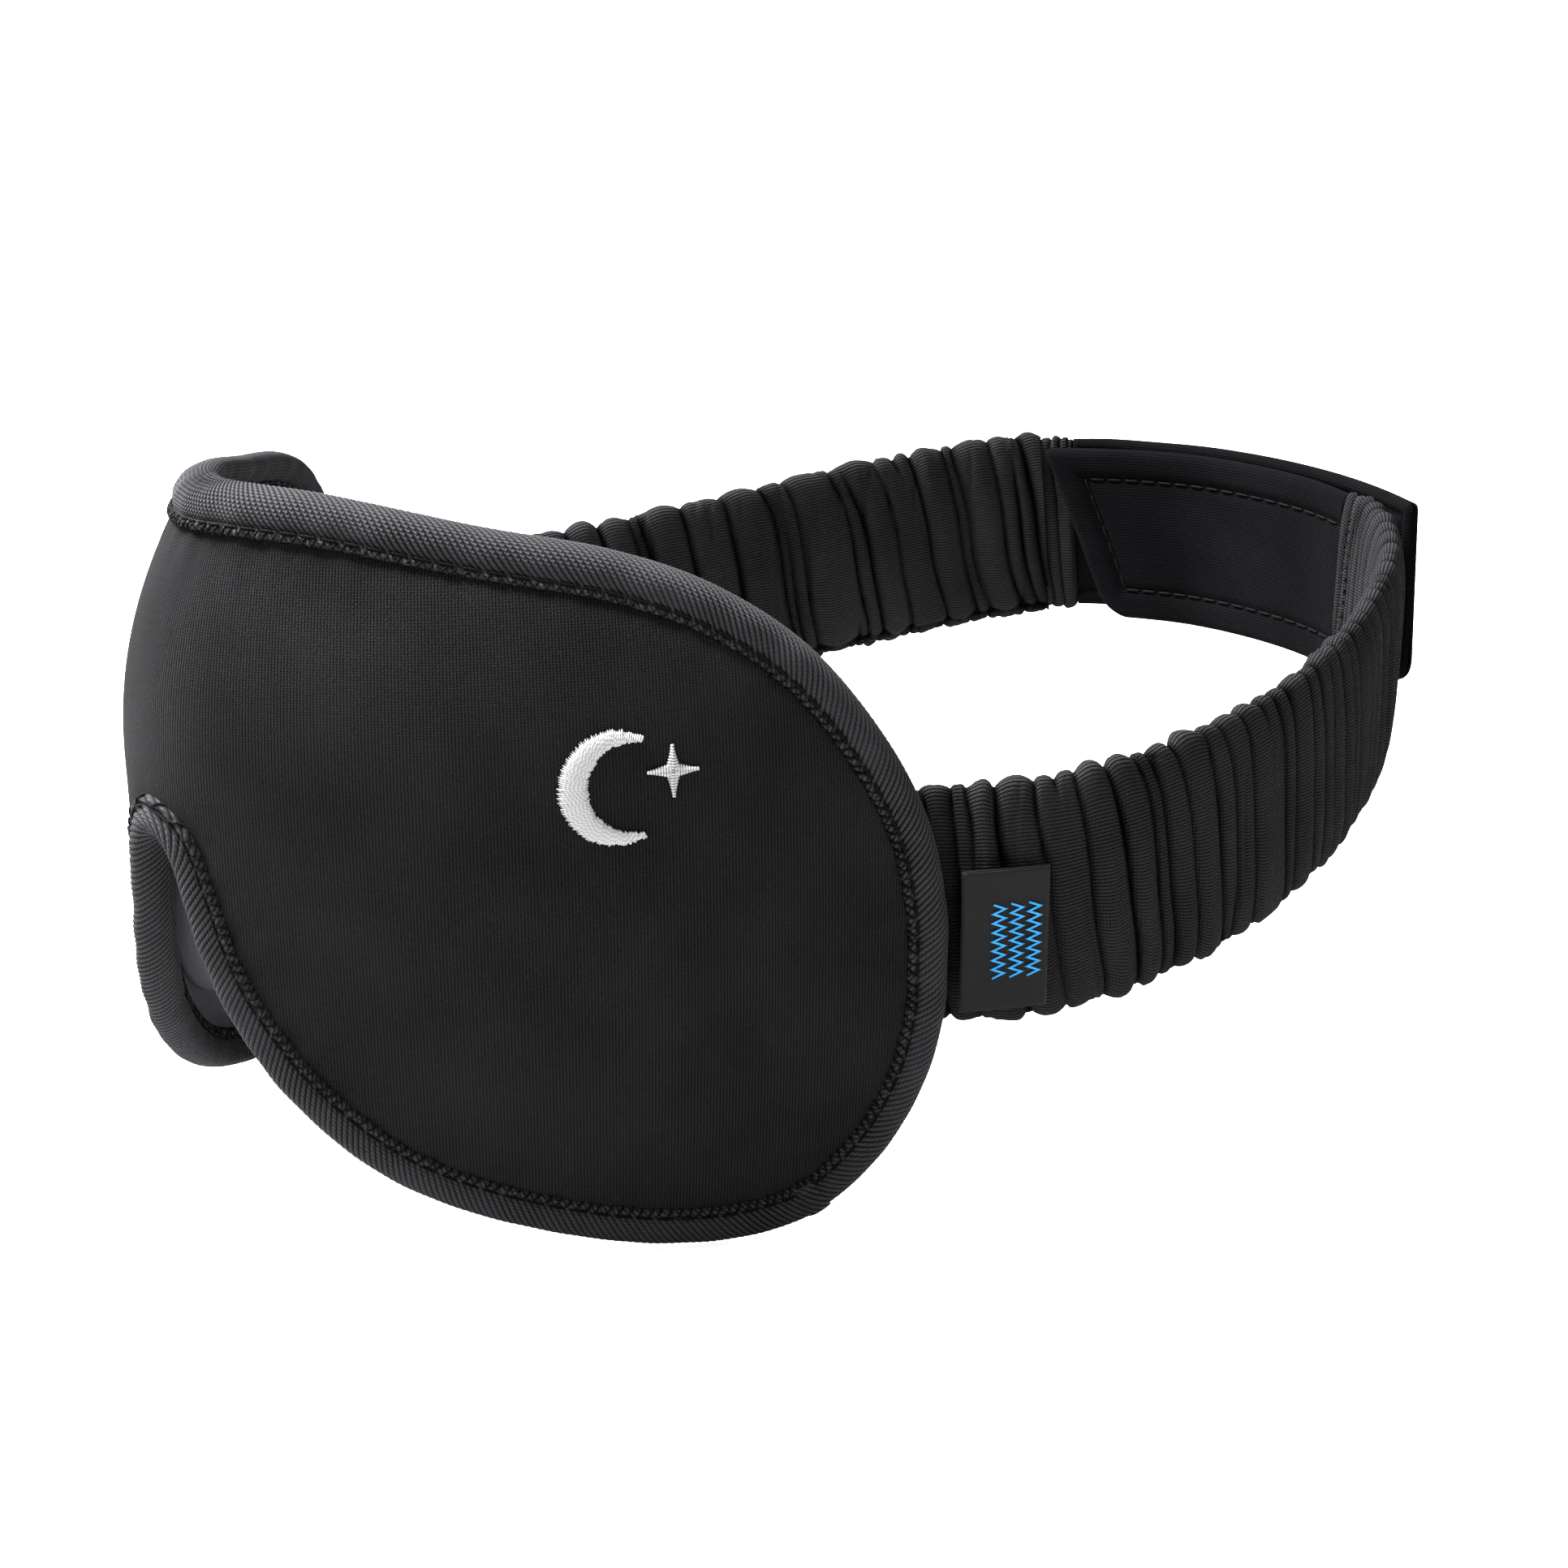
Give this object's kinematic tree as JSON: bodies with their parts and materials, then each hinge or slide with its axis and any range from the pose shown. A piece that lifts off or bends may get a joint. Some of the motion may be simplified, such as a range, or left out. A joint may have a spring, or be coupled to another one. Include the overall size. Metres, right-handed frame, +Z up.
{
  "type": "contoured sleep mask",
  "caption": "Contoured padded sleep mask with a bound edge, eye cushions and a gathered elastic strap that closes behind the head with hook-and-loop tabs.",
  "frame": {"origin": "middle of the head space, between the temples, level with the strap's roots", "axes": "+Z up, -Y the way the wearer looks, +X the wearer's left"},
  "size_m": [0.15, 0.2195, 0.1014],
  "materials": {
    "cover_knit": "fine matte knit",
    "foam": "open-cell foam",
    "lining_knit": "soft brushed knit",
    "cushion_velour": "soft velour",
    "binding_tape": "twill tape",
    "black_thread": "stitching thread",
    "white_thread": "satin embroidery thread",
    "sleeve_knit": "gathered knit",
    "elastic": "woven elastic",
    "tab_velour": "brushed velour",
    "hook_tape": "moulded hooks",
    "loop_tape": "brushed loops",
    "label_satin": "woven satin",
    "label_blue": "woven thread"
  },
  "bodies": {
    "mask": {"mask_front_cover": "cover_knit", "mask_foam_core": "foam", "mask_lining": "lining_knit", "left_eye_cushion": "cushion_velour", "right_eye_cushion": "cushion_velour", "edge_binding": "binding_tape", "binding_seam_front": "black_thread", "binding_seam_back": "black_thread", "binding_join": "binding_tape", "embroidered_crescent": "white_thread", "embroidered_star": "white_thread"},
    "left_strap": {"left_sleeve": "sleeve_knit", "left_elastic": "elastic", "left_root_stitching": "black_thread"},
    "right_strap": {"right_sleeve": "sleeve_knit", "right_elastic": "elastic", "right_root_stitching": "black_thread"},
    "inner_closure": {"left_sleeve_hem": "sleeve_knit", "left_tuck_seam": "black_thread", "inner_tab": "tab_velour", "inner_tab_seam": "black_thread", "hook_patch": "hook_tape"},
    "right_tab_root": {"right_sleeve_hem": "sleeve_knit", "right_tuck_seam": "black_thread"},
    "outer_closure": {"outer_tab": "tab_velour", "outer_tab_seam": "black_thread", "loop_patch": "loop_tape"},
    "label": {"side_label": "label_satin", "label_motif": "label_blue"}
  },
  "joints": [
    {"name": "right_strap_swing", "type": "hinge", "parent": "mask", "child": "right_strap", "pos_m": [-0.0682, 0.0018, 0], "axis": [0, 0, 1], "range_deg": [0, 40]},
    {"name": "left_strap_swing", "type": "hinge", "parent": "mask", "child": "left_strap", "pos_m": [0.0682, 0.0018, 0], "axis": [0, 0, -1], "range_deg": [0, 40]},
    {"name": "right_strap_stretch", "type": "slide", "parent": "right_strap", "child": "right_tab_root", "axis": [0, 1, 0], "range_m": [0, 0.045], "stiffness_N_per_m": 45, "deforming": ["right_sleeve", "right_elastic"]},
    {"name": "left_strap_stretch", "type": "slide", "parent": "left_strap", "child": "inner_closure", "axis": [0, 1, 0], "range_m": [0, 0.045], "stiffness_N_per_m": 45, "deforming": ["left_sleeve", "left_elastic"]},
    {"name": "outer_tab_peel", "type": "hinge", "parent": "right_tab_root", "child": "outer_closure", "pos_m": [-0.0273, 0.1315, 0.0125], "axis": [0, 0, 1], "range_deg": [0, 100]},
    {"name": "label_flap", "type": "hinge", "parent": "left_strap", "child": "label", "pos_m": [0.0682, 0.0018, -0.0044], "axis": [0, 0, -1], "range_deg": [0, 60]}
  ],
  "couplings": [
    {"joint": "left_strap_swing", "follows": "right_strap_swing", "ratio": 1},
    {"joint": "left_strap_stretch", "follows": "right_strap_stretch", "ratio": 1}
  ]
}
